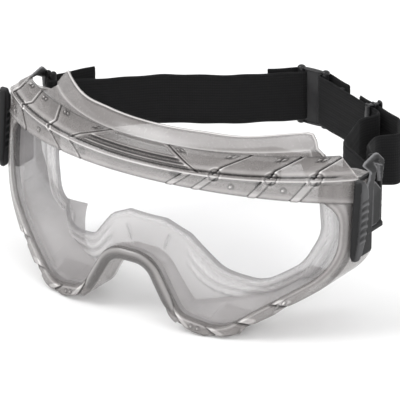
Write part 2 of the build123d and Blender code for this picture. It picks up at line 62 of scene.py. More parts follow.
# ---- driving sizes, as in the CAD (mm) -------------------------------------------------------
HALF_WIDTH, BOW, LEAN = 85.0, 35.0, 0.075
DECK_RISE, DECK_RUN, SIDE_DEPTH = 8.0, 7.2, 12.5
WALL, SIDE_WALL, POCKET_DEPTH = 2.6, 6.0, 2.5
POCKET_Z = (-38.0, -0.5)
RIM, RIM_LIP, LENS_T, LENS_INSET, LEDGE = 5.0, 3.2, 2.2, 2.2, 1.8
APRON_SIDE, APRON_MID, LENS_TOP = -11.0, -6.5, -1.0
OUTLINE = [(85.0, -40.0), (42.0, -70.5), (21.0, -65.5), (8.0, -43.5)]
SEAL_T, SEAL_X = 2.0, 57.5
BROW_X, BROW_SET, BROW_SAG, BROW_FLARE, BROW_T = 65.0, 8.5, 31.5, 4.0, 1.8
STRAP_W, STRAP_T, STRAP_TOP = 22.0, 1.4, -1.5
BAR_X, BAR_Y, BUCKLE_X, BUCKLE_Y, BUCKLE_PITCH = 78.0, 20.5, 8.5, 86.5, 12.0
CLIP_WRAP, BUCKLE_WRAP = 2.4, 2.5
LAYER_STEP, SLIDER_AT, SLIDER_L, FOLD = 3.0, 38.0, 7.0, 14.0

# ---- sizes that follow the photograph more closely than the CAD does (mm) --------------------
OUTLINE_RADII = [26.0, 18.0, 14.0, 9.0]      # rounder lower rim
# half of the seal's eye opening, which is wider and further forward than the CAD's
EYE = [(63.0, -2.0), (65.5, -30.0), (60.0, -43.5), (46.0, -51.5), (33.0, -49.0), (19.0, -33.0),
       (9.0, -28.0)]
EYE_RADII = [8.0, 16.0, 18.0, 14.0, 16.0, 8.0, 6.0]
RISE_TOP, RISE_LOW = 8.0, 5.0    # the seal stands this far forward, and this much more low down
RISE_REACH = 13.0                # width of the raised part round the opening
CORNER_WIDEN = 8.0               # the rim is wider by this much at the window's upper corners

FRONT_R = (HALF_WIDTH**2 + BOW**2) / (2 * BOW)
ARC_Y = FRONT_R - BOW
FACE_SAG = BOW - 10.5 + SIDE_DEPTH + SEAL_T - 0.2
FACE_R = (SEAL_X**2 + FACE_SAG**2) / (2 * FACE_SAG)
FACE_Y = FACE_R - BOW + 10.5
BROW_R = (BROW_X**2 + BROW_SAG**2) / (2 * BROW_SAG)
BROW_Y = BROW_R - BOW + BROW_SET
DECK_L = math.hypot(DECK_RISE, DECK_RUN)


# ---- shapes of the surfaces ------------------------------------------------------------------
def front_y(x, z, inset=0.0):
    """Depth of the leaning front surface, set back by inset."""
    radius = FRONT_R - LEAN * np.minimum(z, 0) - inset
    return ARC_Y - np.sqrt(radius**2 - np.asarray(x) ** 2)


def seal_y(x):
    """Front of the face seal: a cylinder that runs into two flat wings."""
    curve = FACE_Y - np.sqrt(FACE_R**2 - np.minimum(np.abs(x), SEAL_X) ** 2)
    return np.minimum(curve, SIDE_DEPTH)


def floor_z(y):
    """Height of the frame's sloping floor."""
    return -70.0 + 0.33 * (np.asarray(y) + 40.0)


def bell(distance, width):
    return np.exp(-((distance / width) ** 2))


def ease(value, width=1.0):
    """Rises smoothly from 0 to 1 as value goes from 0 to width."""
    t = np.clip(value / width, 0, 1)
    return t * t * (3 - 2 * t)


def rounded(points, radii, step=0.5):
    """Evenly spaced points on a polyline whose inner corners are rounded."""
    pts = [np.array(p, float) for p in points]
    out = [pts[0]]
    for a, b, c, r in zip(pts, pts[1:], pts[2:], radii):
        u, v = (a - b) / np.linalg.norm(a - b), (c - b) / np.linalg.norm(c - b)
        half = 0.5 * math.acos(float(np.clip(u @ v, -1, 1)))
        if r <= 0 or half > 1.56:
            out.append(b)
            continue
        run = r / math.tan(half)
        centre = b + (u + v) / np.linalg.norm(u + v) * r / math.sin(half)
        first, last = b + u * run - centre, b + v * run - centre
        a0, a1 = math.atan2(first[1], first[0]), math.atan2(last[1], last[0])
        turn = (a1 - a0 + math.pi) % (2 * math.pi) - math.pi
        for k in range(17):
            angle = a0 + turn * k / 16
            out.append(centre + r * np.array([math.cos(angle), math.sin(angle)]))
    out.append(pts[-1])
    out = np.array(out)
    along = np.r_[0, np.cumsum(np.linalg.norm(np.diff(out, axis=0), axis=1))]
    even = np.linspace(0, along[-1], max(2, int(along[-1] / step) + 1))
    return np.c_[np.interp(even, along, out[:, 0]), np.interp(even, along, out[:, 1])]


def sideways(path):
    """Unit normals of a plan path, to the right of its direction."""
    t = np.gradient(path, axis=0)
    t /= np.linalg.norm(t, axis=1)[:, None]
    return np.c_[t[:, 1], -t[:, 0]]


def mirror(points):
    return points + [(-x, z) for x, z in reversed(points)]


def frame_path(top, step=0.5):
    """Front view of the frame, from the left side's top round the bottom to the right's."""
    half = [(HALF_WIDTH, top)] + OUTLINE
    return rounded(mirror(half), OUTLINE_RADII + OUTLINE_RADII[::-1], step)


def eye_path(step=0.5):
    half = [(0.0, EYE[0][1])] + EYE
    loop = half + [(-x, z) for x, z in reversed(half)]
    return rounded(loop, EYE_RADII + EYE_RADII[::-1], step)[:-1]


def rise(x, z, d):
    """The seal stands forward round the sides of its opening, d away from the edge."""
    height = RISE_TOP + RISE_LOW * ease(-z - 28.0, 18.0)
    return height * ease(np.abs(x) - 34.0, 26.0) * ease(RISE_REACH - d, 11.0)


# ---- mesh helpers ----------------------------------------------------------------------------
def put(name, points, faces, material, body, nodes=(), uv=None, painted_light=None, sharp=50):
    """Makes a piece of the visual model from points in mm. Its painted light paints shade below 0
    and highlights above 0.
    """
    mesh = bpy.data.meshes.new(name)
    mesh.from_pydata((np.asarray(points, float).reshape(-1, 3) * MM).tolist(), [], faces)
    if uv is not None:
        layer = mesh.uv_layers.new(name="UVMap")
        index = np.zeros(len(mesh.loops), int)
        mesh.loops.foreach_get("vertex_index", index)
        layer.data.foreach_set("uv", np.asarray(uv, np.float32)[index].ravel())
    if painted_light is not None:
        mesh.attributes.new("painted_light", "FLOAT", "POINT").data.foreach_set(
            "value", np.asarray(painted_light, np.float32).ravel())
    work = bmesh.new()
    work.from_mesh(mesh)
    bmesh.ops.recalc_face_normals(work, faces=work.faces)
    work.to_mesh(mesh)
    work.free()
    mesh.shade_smooth()
    mesh.set_sharp_from_angle(angle=math.radians(sharp))
    mesh.materials.append(material)
    piece = bpy.data.objects.new(name, mesh)
    bpy.context.scene.collection.objects.link(piece)
    return dress(piece, body, nodes)


def dress(piece, body, nodes):
    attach(piece, body)
    if nodes:
        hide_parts(*nodes)
    return piece


def ring_faces(rows, cols, closed=False):
    """Faces of a swept ring of points, with end caps unless the sweep is closed."""
    faces = []
    for i in range(rows if closed else rows - 1):
        a, b = i * cols, ((i + 1) % rows) * cols
        faces += [(a + j, a + (j + 1) % cols, b + (j + 1) % cols, b + j) for j in range(cols)]
    if not closed:
        faces += [tuple(range(cols))[::-1], tuple(range((rows - 1) * cols, rows * cols))]
    return faces


def inside(points, loop):
    """Which points lie inside a closed loop."""
    x, z = points[:, 0][:, None], points[:, 1][:, None]
    x0, z0 = loop[:, 0], loop[:, 1]
    x1, z1 = np.roll(x0, -1), np.roll(z0, -1)
    spans = (z0 > z) != (z1 > z)
    cross = x < (x1 - x0) * (z - z0) / np.where(z1 == z0, 1e-12, z1 - z0) + x0
    return np.sum(spans & cross, axis=1) % 2 == 1


def nearest(points, loop):
    """Distance from each point to a densely sampled loop."""
    out = np.empty(len(points))
    for k in range(0, len(points), 2000):
        part = points[k:k + 2000, None, :] - loop[None, :, :]
        out[k:k + 2000] = np.sqrt((part**2).sum(2)).min(1)
    return out


def sheet(outer, holes, spacing, front, back):
    """A thick sheet in front view: its points and faces from its outlines and two depths."""
    loops = [outer] + holes
    edge_points = np.vstack(loops)
    lo, hi = outer.min(0), outer.max(0)
    gx, gz = np.meshgrid(np.arange(lo[0], hi[0], spacing), np.arange(lo[1], hi[1], spacing))
    gx = gx + (np.arange(gx.shape[0]) % 2)[:, None] * spacing / 2
    grid = np.c_[gx.ravel(), gz.ravel()]
    keep = inside(grid, outer)
    for hole in holes:
        keep &= ~inside(grid, hole)
    grid = grid[keep]
    grid = grid[nearest(grid, edge_points) > 0.55 * spacing]
    flat = np.vstack([edge_points, grid])
    edges, start = [], 0
    for loop in loops:
        n = len(loop)
        edges += [(start + i, start + (i + 1) % n) for i in range(n)]
        start += n
    verts, _, tris, *_ = delaunay_2d_cdt([Vector(p) for p in flat], edges, [], 0, 1e-6)
    flat = np.array([tuple(v) for v in verts])
    tris = np.array([t for t in tris if len(t) == 3])
    middle = flat[tris].mean(1)
    good = inside(middle, outer)
    for hole in holes:
        good &= ~inside(middle, hole)
    tris = tris[good]
    n = len(flat)
    x, z = flat[:, 0], flat[:, 1]
    points = np.vstack([np.c_[x, front(x, z), z], np.c_[x, back(x, z), z]])
    faces = [tuple(t) for t in tris.tolist()] + [tuple(t[::-1] + n) for t in tris]
    count = {}
    for t in tris.tolist():
        for a, b in ((t[0], t[1]), (t[1], t[2]), (t[2], t[0])):
            if (b, a) in count:
                del count[(b, a)]
            else:
                count[(a, b)] = True
    faces += [(b, a, a + n, b + n) for a, b in count]
    used = sorted({i for f in faces for i in f})
    renumber = {old: new for new, old in enumerate(used)}
    return points[used], [tuple(renumber[i] for i in f) for f in faces]


# ---- materials -------------------------------------------------------------------------------
def material(name):
    """A new node material: its Principled shader and a helper that adds nodes."""
    made = bpy.data.materials.new(name)
    made.use_nodes = True
    tree = made.node_tree
    shader = tree.nodes["Principled BSDF"]

    def node(kind, links=(), **settings):
        n = tree.nodes.new(kind)
        for key, value in settings.items():
            if key in n.inputs:
                n.inputs[key].default_value = value
            else:
                setattr(n, key, value)
        for source, socket in links:
            tree.links.new(source, n.inputs[socket])
        return n

    def link(source, socket):
        tree.links.new(source, shader.inputs[socket])

    return made, shader, node, link


def ramp(node, source, dark, light, low=0.3, high=0.7):
    """Maps a value to a colour between dark and light."""
    r = node("ShaderNodeValToRGB", links=[(source, "Fac")])
    r.color_ramp.elements[0].position, r.color_ramp.elements[1].position = low, high
    r.color_ramp.elements[0].color = (*dark, 1)
    r.color_ramp.elements[1].color = (*light, 1)
    return r.outputs["Color"]


def spread(node, source, low, high):
    """Maps 0..1 to low..high."""
    m = node("ShaderNodeMapRange", links=[(source, "Value")])
    m.inputs["To Min"].default_value, m.inputs["To Max"].default_value = low, high
    return m.outputs["Result"]


def moulded(name, dark, light, rough, grain, bump=0.15, **sockets):
    """Moulded plastic: mottled colour, uneven gloss and a fine grain."""
    made, shader, node, link = material(name)
    place = node("ShaderNodeTexCoord").outputs["Object"]
    cloud = node("ShaderNodeTexNoise", links=[(place, "Vector")], Scale=90.0, Detail=4.0)
    fine = node("ShaderNodeTexNoise", links=[(place, "Vector")], Scale=grain, Detail=3.0)
    link(ramp(node, cloud.outputs["Fac"], dark, light), "Base Color")
    link(spread(node, fine.outputs["Fac"], *rough), "Roughness")
    raised = node(
        "ShaderNodeBump", links=[(fine.outputs["Fac"], "Height")], Strength=bump, Distance=0.0002
    )
    link(raised.outputs["Normal"], "Normal")
    for key, value in sockets.items():
        shader.inputs[key.replace("_", " ")].default_value = value
    return made


def translucent(name, deep, mid, pale, rough, alpha, **sockets):
    """Plastic with painted shade in its gaps and painted highlights on its edges. Alpha 1 is solid.
    """
    made, shader, node, link = material(name)
    place = node("ShaderNodeTexCoord").outputs["Object"]
    cloud = node("ShaderNodeTexNoise", links=[(place, "Vector")], Scale=60.0, Detail=4.0)
    fine = node("ShaderNodeTexNoise", links=[(place, "Vector")], Scale=900.0, Detail=3.0)
    painted_light = node("ShaderNodeAttribute", attribute_name="painted_light").outputs["Fac"]
    soft = spread(node, cloud.outputs["Fac"], 0.42, 0.58)
    shade = node("ShaderNodeMath", links=[(soft, 0), (painted_light, 1)], operation="ADD")
    # deep is the colour of the painted shade, pale of the painted highlights, mid of the plain
    # plastic
    colours = node("ShaderNodeValToRGB", links=[(shade.outputs[0], "Fac")])
    colours.color_ramp.elements[0].color = (*deep, 1)
    colours.color_ramp.elements[1].color = (*pale, 1)
    colours.color_ramp.elements.new(0.5).color = (*mid, 1)
    link(colours.outputs["Color"], "Base Color")
    link(spread(node, fine.outputs["Fac"], *rough), "Roughness")
    thick = node("ShaderNodeMath", links=[(painted_light, 0)], operation="ABSOLUTE")
    solid = node("ShaderNodeMapRange", links=[(thick.outputs[0], "Value")])
    solid.inputs["From Min"].default_value, solid.inputs["From Max"].default_value = 0.2, 0.6
    solid.inputs["To Min"].default_value, solid.inputs["To Max"].default_value = alpha, 0.97
    link(solid.outputs["Result"], "Alpha")
    raised = node("ShaderNodeBump", links=[(fine.outputs["Fac"], "Height")], Strength=0.1,
                  Distance=0.0002)
    link(raised.outputs["Normal"], "Normal")
    for key, value in sockets.items():
        shader.inputs[key.replace("_", " ")].default_value = value
    return made


def woven(name, dark, light):
    """Woven elastic: lengthwise cords crossed by fine picks, with a soft fuzz."""
    made, shader, node, link = material(name)
    uv = node("ShaderNodeTexCoord").outputs["UV"]
    cords = node("ShaderNodeTexWave", links=[(uv, "Vector")], Scale=0.27, bands_direction="Y",
                 Distortion=0.6, Detail=1.0)
    picks = node("ShaderNodeTexWave", links=[(uv, "Vector")], Scale=0.42, bands_direction="X",
                 Distortion=1.0, Detail=1.0)
    fuzz = node("ShaderNodeTexNoise", links=[(uv, "Vector")], Scale=2.6, Detail=5.0)
    weave = node("ShaderNodeMath", links=[(cords.outputs["Fac"], 0), (picks.outputs["Fac"], 1)],
                 operation="MULTIPLY")
    mixed = node("ShaderNodeMath", links=[(weave.outputs[0], 0), (fuzz.outputs["Fac"], 1)],
                 operation="ADD")
    link(ramp(node, mixed.outputs[0], dark, light, 0.25, 1.25), "Base Color")
    link(spread(node, fuzz.outputs["Fac"], 0.78, 0.98), "Roughness")
    raised = node("ShaderNodeBump", links=[(mixed.outputs[0], "Height")], Strength=0.3,
                  Distance=0.0002)
    link(raised.outputs["Normal"], "Normal")
    shader.inputs["Sheen Weight"].default_value = 0.05
    shader.inputs["Sheen Roughness"].default_value = 0.5
    shader.inputs["Specular IOR Level"].default_value = 0.15
    return made


FRAME_MAT = translucent("smoky_soft_plastic", (0.015, 0.014, 0.014), (0.235, 0.218, 0.212),
                        (0.80, 0.77, 0.76), (0.20, 0.32), 0.60, IOR=1.5, Coat_Weight=0.35,
                        Coat_Roughness=0.12)
ROLL_MAT = translucent("smoky_soft_plastic_dark", (0.01, 0.01, 0.01), (0.12, 0.112, 0.11),
                       (0.6, 0.58, 0.57), (0.16, 0.28), 0.78, IOR=1.5, Coat_Weight=0.4,
                       Coat_Roughness=0.1)
SEAL_MAT = translucent("smoky_seal_plastic", (0.06, 0.057, 0.056), (0.58, 0.56, 0.552),
                       (0.97, 0.95, 0.94), (0.28, 0.42), 0.42, IOR=1.48)
LENS_MAT = moulded("clear_lens_plastic", (0.80, 0.79, 0.84), (0.86, 0.85, 0.89), (0.03, 0.06),
                   300.0, 0.0, Alpha=0.05, IOR=1.58)
CLIP_MAT = translucent("clip_plastic_black", (0.002, 0.002, 0.002), (0.008, 0.008, 0.0085),
                       (0.33, 0.33, 0.34), (0.36, 0.50), 1.0, Specular_IOR_Level=0.2)
PAD_MAT = translucent("grip_plastic_grey", (0.003, 0.003, 0.003), (0.018, 0.018, 0.019),
                      (0.30, 0.30, 0.31), (0.42, 0.56), 1.0, Specular_IOR_Level=0.25)
GLOSS_MAT = moulded("buckle_plastic_black", (0.012, 0.012, 0.013), (0.020, 0.020, 0.021),
                    (0.16, 0.28), 800.0, 0.08, Specular_IOR_Level=0.3, Coat_Weight=0.1,
                    Coat_Roughness=0.08)
WEB_MAT = woven("woven_elastic_black", (0.0035, 0.0035, 0.004), (0.012, 0.012, 0.0125))
THREAD_MAT = woven("stitch_thread_black", (0.012, 0.012, 0.013), (0.030, 0.030, 0.032))


# ---- frame: apron, ridge, plated deck and brow flap ------------------------------------------
DECK_TOP = 6.8           # height of the deck's rear edge
ROOF = 5.9               # height of the sunk roof behind it
CHAMFER_RUN = 9.0        # the deck's corners are cut back over this width
CORNER_ROOF = -3.0       # height of the frame behind those corners
BROW_ENDS = [(58.0, 11.8), (60.0, 11.0), (62.0, 8.4), (64.0, 5.0), (67.0, -1.0), (68.5, -3.0)]
ROOF_END = 61.5          # the roof ends here, beside the flap's ends
# gaps between the deck's plates, out from the middle: at the rear, at the bend, at the ridge
GAPS_LEFT = [(11.5, 22.0, 29.0), (46.5, 37.5, 35.0), (64.0, 57.0, 56.0), (77.0, 71.5, 71.0)]
GAPS_RIGHT = [(14.0, 28.0, 34.0), (46.0, 44.5, 47.5), (61.5, 63.5, 69.0), (74.0, 77.0, 80.5)]
GAP_BEND = 0.36          # share of the deck's depth at which a gap bends
# lines down the apron: at the ridge, at the foot
STRIPS_LEFT = [(26.0, 17.5), (36.5, 28.5), (56.5, 50.5), (71.5, 65.5)]
STRIPS_RIGHT = [(34.5, 26.0), (48.0, 38.5), (71.0, 64.5)]
PIPS = [(42.6, -4.3), (61.5, -4.6), (-54.7, -4.3), (-77.3, -6.0)]
# dim patches on the apron: middle, half width, half height
DIMS = [(20.5, -2.2, 3.0, 1.6), (53.0, -3.2, 1.5, 2.0), (-26.0, -3.4, 2.2, 1.5)]


def crease(marks, d, wide=0.45, deep=0.9, lit=0.5):
    """Cuts a gap with a raised edge beside it into a (height, painted light) pair: painted shade in
    the gap, a painted highlight on the edge.
    """
    marks[0] += -deep * bell(d, wide) + 0.4 * deep * bell(d - 2.1 * wide, wide)
    marks[1] += -0.62 * bell(d, 0.8 * wide) + 0.7 * lit * bell(d - 2.1 * wide, 0.8 * wide)


def dimple(marks, r, size):
    """A round pip with a painted highlight on it and a ring of painted shade round it."""
    marks[0] += 0.6 * bell(r, size) - 0.35 * bell(r - 1.8 * size, 0.5 * size)
    marks[1] += 0.45 * bell(r, 0.7 * size) - 0.4 * bell(r - 1.5 * size, 0.45 * size)


def ridge_marks(marks, x, s):
    """Rings that straddle the ridge at each gap of the wearer's left half."""
    # the rings' light and dark lines are painted highlights and painted shade
    for _, _, ridge in GAPS_LEFT[1:]:
        r = np.hypot(x - ridge - 1.0, 0.8 * s)
        marks[0] += 0.3 * bell(r - 2.5, 0.45) - 0.35 * bell(r - 1.9, 0.35)
        marks[1] += 0.14 * bell(r - 2.6, 0.35) - 0.36 * bell(r - 2.0, 0.28)
    for _, _, ridge in GAPS_RIGHT[1:3]:
        r = np.hypot(-x - ridge, 0.9 * s)
        marks[0] += 0.4 * bell(r - 1.2, 0.4)
        marks[1] += -0.45 * bell(r - 0.4, 0.4) + 0.4 * bell(r - 1.4, 0.4)


def gap_at(gap, f):
    rear, bend, ridge = gap
    if f > GAP_BEND:
        return bend + (rear - bend) * (f - GAP_BEND) / (1 - GAP_BEND)
    return ridge + (bend - ridge) * f / GAP_BEND


def deck_marks(x, f):
    """Height and painted light of the deck's plates. f is 0 at the ridge and 1 at the rear edge."""
    s = f * DECK_L
    marks = np.zeros((2, len(x)))
    groove = ease(80.0 - np.abs(x), 3.0)
    # painted shade in the groove behind the ridge
    marks[0] -= 0.9 * bell(s - 1.0, 0.4) * groove
    marks[1] -= 0.6 * bell(s - 1.0, 0.42) * groove
    # painted highlight just behind the ridge, painted shade towards and along the rear edge
    marks[1] += 0.16 * bell(s - 2.6, 1.0) - 0.10 * ease(s - 6.0, 4.0) - 0.3 * bell(f - 1, 0.05)
    ridge_marks(marks, x, s)
    ends = []
    # each gap gets painted shade with a painted highlight beside it, and each raised plate a faint
    # painted highlight
    for side, gaps in ((1, GAPS_LEFT), (-1, GAPS_RIGHT)):
        for k, gap in enumerate(gaps):
            d = side * x - gap_at(gap, f)
            here = side * x > 3
            part = np.zeros_like(marks)
            if k:
                marks[0] += here * 0.6 * np.clip(1 + d / 10.0, 0, 1) * (d < 0)
                marks[1] += here * 0.10 * np.clip(1 + d / 6.0, 0, 1) * (d < 0)
                crease(part, d, 0.5 if side > 0 else 0.55)
                for off in (-3.6, -5.4):
                    dimple(part, np.hypot(d - off, s - 0.84 * DECK_L), 0.55)
            else:
                crease(part, d - 0.8, 0.4, 0.8, 0.4)
                part[1] += 0.28 * bell(d + 1.2, 0.9)
                for off in (3.6, 5.4):
                    dimple(part, np.hypot(d - off, s - 0.84 * DECK_L), 0.5)
                ends.append(ease(-d - 0.6, 1.0) * here)
            marks += part * here
    # the sunk vent windows get painted shade, their ribs painted highlights with painted shade in
    # front, their rear edge a painted highlight
    window = (sum(ends) + (np.abs(x) <= 3)) * ease(f - 0.13, 0.05) * ease(0.95 - f, 0.05)
    marks[0] -= 1.1 * window
    marks[1] -= window * (0.12 + 0.22 * ease(0.55 - f, 0.1))
    for rib, light in ((0.22, 0.5), (0.36, 0.35), (0.5, 0.45)):
        inner = window * ease(26.0 - np.abs(x) + 8 * (0.5 - f), 3.0)
        marks[0] += 0.8 * bell(f - rib, 0.045) * inner
        marks[1] += inner * (light * bell(f - rib - 0.02, 0.03) - 0.25 * bell(f - rib + 0.05, 0.03))
    marks[1] += window * 0.3 * bell(f - 0.93, 0.03)
    return marks


def apron_marks(x, z, foot):
    """Height and painted light of the apron's strips, pips and beads."""
    marks = np.zeros((2, len(x)))
    plain = ease(78.0 - np.abs(x), 4.0)
    # painted highlight on the ridge bead with painted shade below it; painted shade along the foot
    # with a painted highlight above
    marks[0] += 0.4 * bell(z + 0.8, 0.4)
    marks[1] += 0.4 * bell(z + 0.8, 0.35) - 0.22 * bell(z + 2.0, 0.7) * plain
    marks[0] += 0.3 * bell(z - foot - 0.7, 0.5)
    marks[1] += -0.35 * bell(z - foot - 0.15, 0.28) + 0.12 * bell(z - foot - 1.4, 0.9)
    ridge_marks(marks, x, z)
    # the left strips get a painted highlight with painted shade along their edges
    for ridge, low in STRIPS_LEFT:
        d = x - (ridge + (low - ridge) * z / foot)
        strip = ease(1.5 - np.abs(d), 0.35) * ease(-z - 1.0, 0.5)
        edge = bell(np.abs(d) - 1.8, 0.26) * ease(-z - 0.8, 0.4)
        marks[0] += 0.45 * strip - 0.5 * edge
        marks[1] += 0.15 * strip - 0.38 * edge
    for ridge, low in STRIPS_RIGHT:
        part = np.zeros_like(marks)
        crease(part, -x - (ridge + (low - ridge) * z / foot), 0.42, 0.8, 0.3)
        marks += part * ease(-z - 0.8, 0.4)
    for px, pz in PIPS:
        dimple(marks, np.hypot(x - px, z - pz), 0.65)
    for px, pz, wide, tall in DIMS:
        r = np.hypot((x - px) / wide, (z - pz) / tall)
        marks[1] -= 0.22 * ease(1.1 - r, 0.3)
    return marks


def brow_height(ax):
    """Height of the brow flap's top edge."""
    top = 12.4 - 1.3 * bell(ax - 38.0, 16.0)
    across, height = np.array(BROW_ENDS).T
    return np.minimum(top, np.interp(ax, across, height))


def top_shell():
    x = np.linspace(-HALF_WIDTH, HALF_WIDTH, 761)
    ax = np.abs(x)
    foot = APRON_MID + (APRON_SIDE - APRON_MID) * (ax / HALF_WIDTH) ** 2
    rear = seal_y(x)
    crest = np.clip((HALF_WIDTH - ax) / CHAMFER_RUN, 0, 1)
    roof = ROOF + (CORNER_ROOF - ROOF) * ease(ax - ROOF_END, 1.8)
    cols, painted_light_cols = [], []

    def deck_y(inset):
        return ARC_Y - np.sqrt((FRONT_R - inset) ** 2 - x**2)

    def add(y, z, painted_light=0.0):
        cols.append((y + 0 * x, z + 0 * x))
        painted_light_cols.append(painted_light + 0 * x)

    for f in np.linspace(0, 1, 40):
        z = foot * (1 - f)
        h, painted_light = apron_marks(x, z, foot)
        add(front_y(x, z, -h), z, painted_light)
    for f in np.linspace(0, 1, 50)[1:]:
        h, painted_light = deck_marks(x, f)
        past = np.clip(f - crest, 0, 1)
        z = DECK_TOP * np.minimum(f, crest) - 14.0 * past + h * DECK_RUN / DECK_L * (past == 0)
        # a painted highlight along the edge where the deck's cut-back corners drop away
        painted_light = painted_light * (past == 0) + 0.3 * bell(f - crest, 0.04) * (ax > 76)
        add(deck_y(DECK_RUN * f - h * DECK_RISE / DECK_L * (past == 0)),
            np.maximum(z, CORNER_ROOF), painted_light)
    back = deck_y(DECK_RUN)
    stand = BROW_Y - np.sqrt(BROW_R**2 - np.minimum(ax, BROW_X) ** 2)
    stand = np.minimum(np.maximum(stand, back + 1.2), rear - 0.25)
    edge_z = np.maximum(DECK_TOP * crest - 14.0 * (1 - crest), CORNER_ROOF)
    # painted shade where the deck's rear edge meets the roof, a painted highlight at the foot of
    # the brow flap
    for f in np.linspace(0, 1, 11)[1:]:
        z = edge_z + (np.minimum(roof, edge_z) - edge_z) * ease(f, 0.35)
        add(back + (stand - back) * f, z, -0.25 * bell(f - 0.12, 0.1) + 0.30 * bell(f - 1, 0.12))
    base = np.minimum(roof, edge_z)
    high = np.maximum(brow_height(ax) - base, 0)
    reach = np.minimum(ax, BROW_X)

    def flap(f, behind):
        lean = BROW_FLARE * np.clip((base + high * f - ROOF) / 5.5, 0, 1)
        y = BROW_Y - np.sqrt((BROW_R - lean) ** 2 - reach**2)
        y0 = BROW_Y - np.sqrt(BROW_R**2 - reach**2)
        bulge = 0.45 * math.sin(math.pi * f) * np.minimum(high / 5.5, 1)
        return np.minimum(stand + y - y0 + behind + bulge, 14.0)

    # the flap gets painted highlights along its foot and top edge, and painted shade just below
    # that edge and behind it
    for f in np.linspace(0, 1, 18)[1:-1]:
        add(flap(f, 0), base + high * f, 0.06 - 0.25 * bell(f - 0.90, 0.05) + 0.25 * bell(f, 0.08))
    add(flap(0.98, 0.1), base + high * 0.98, 0.42)
    add(flap(1.0, BROW_T * 0.4), base + high, 0.38)
    add(flap(0.98, BROW_T * 0.8), base + high * 0.98, -0.35)
    for f in np.linspace(1, 0, 8)[1:]:
        y = flap(f, BROW_T * 0.8)
        add(y if f else np.minimum(y, rear - 0.12), base + high * f, -0.1)
    shelf = np.maximum(base - 5.5 * ease(ax - 46.0, 10.0), CORNER_ROOF)
    add(np.minimum(flap(0, BROW_T * 0.8), rear - 0.12), shelf, -0.1)
    add(rear - 0.05, shelf - 0.3)
    add(rear - 0.05, shelf - 1.4)
    under = WALL * DECK_RISE / DECK_L
    for inset, z in ((DECK_RUN + under, ROOF - 1.5), (DECK_RUN * 0.6 + under, 2.6),
                     (DECK_RUN * 0.25 + under, 0.3)):
        add(np.minimum(deck_y(inset), rear - 0.3), np.minimum(z, shelf - 1.2))
    keep_out = np.where(ax > HALF_WIDTH - POCKET_DEPTH - 0.2, -0.25, 99.0)
    for f in np.linspace(0, 1, 7):
        z = np.minimum(-0.5, shelf - 1.2)
        z = z + (foot - z) * f
        add(np.minimum(front_y(x, z, 2.0), keep_out), z)
    add(np.minimum(front_y(x, foot, 1.0), keep_out - 0.1), foot - 0.35, -0.2)
    points = np.stack([np.stack([x, y, z], 1) for y, z in cols], 1)
    return put("frame_deck_and_brow", points, ring_faces(len(x), len(cols)), FRAME_MAT, "goggle",
               ["frame_body"], painted_light=np.stack(painted_light_cols, 1))


# ---- frame: rim and walls --------------------------------------------------------------------
PLATE_GAPS = [61.0, 49.0, 37.0, 23.0]     # gaps between the lower rim's plates, from the side in


def rim_marks(x, z, d):
    """Height and painted light of the lower rim's plates on its front face, d in from the outline.
    """
    ax = np.abs(x)
    low = ease(-z - 44.0, 5.0)
    marks = np.zeros((2, len(x)))
    for gap in PLATE_GAPS:
        off = ax - gap - 1.5 * (RIM - d) + 3.0
        crease(marks, off, 0.55, 0.9, 0.25)
        marks[0] += 0.5 * np.clip(1 - (off - 1.5) / 9.0, 0, 1) * (off > 1.5)
        # a slanted painted highlight in each plate's slit
        slit = np.hypot((off - 2.6) / 1.7, (d - 2.9) / 1.9)
        marks[1] += 0.24 * ease(1.1 - slit, 0.4)
    for pip in (63.0, 31.0, 18.0):
        for side in (-1.3, 1.3):
            dimple(marks, np.hypot(ax - pip - side, d - 2.4), 0.5)
    marks *= low
    side = ease(z + 48.0, 8.0)
    # painted shade along the outer border and the inner edge with a painted highlight just inside
    # that edge; up the sides a painted highlight with painted shade outside it
    marks[1] += -0.34 * bell(d - 0.2, 0.7) - 0.20 * bell(d - 4.9, 0.35) + 0.22 * bell(d - 3.9, 0.45)
    marks[1] += side * (0.15 * bell(d - 2.4, 0.6) - 0.22 * bell(d - 1.2, 0.5))
    return marks


def saw_edge(x, z):
    """How far the plates' outer edges step in along the lower rim."""
    ax, low = np.abs(x), ease(-z - 50.0, 6.0)
    out = np.zeros_like(ax)
    bounds = [74.0] + PLATE_GAPS + [10.0]
    for outer, inner in zip(bounds, bounds[1:]):
        t = (outer - ax) / (outer - inner)
        out += np.where((t >= 0) & (t < 1), 1.5 * np.abs(t) ** 1.5, 0)
    return out * low * ease(ax - 18, 4)


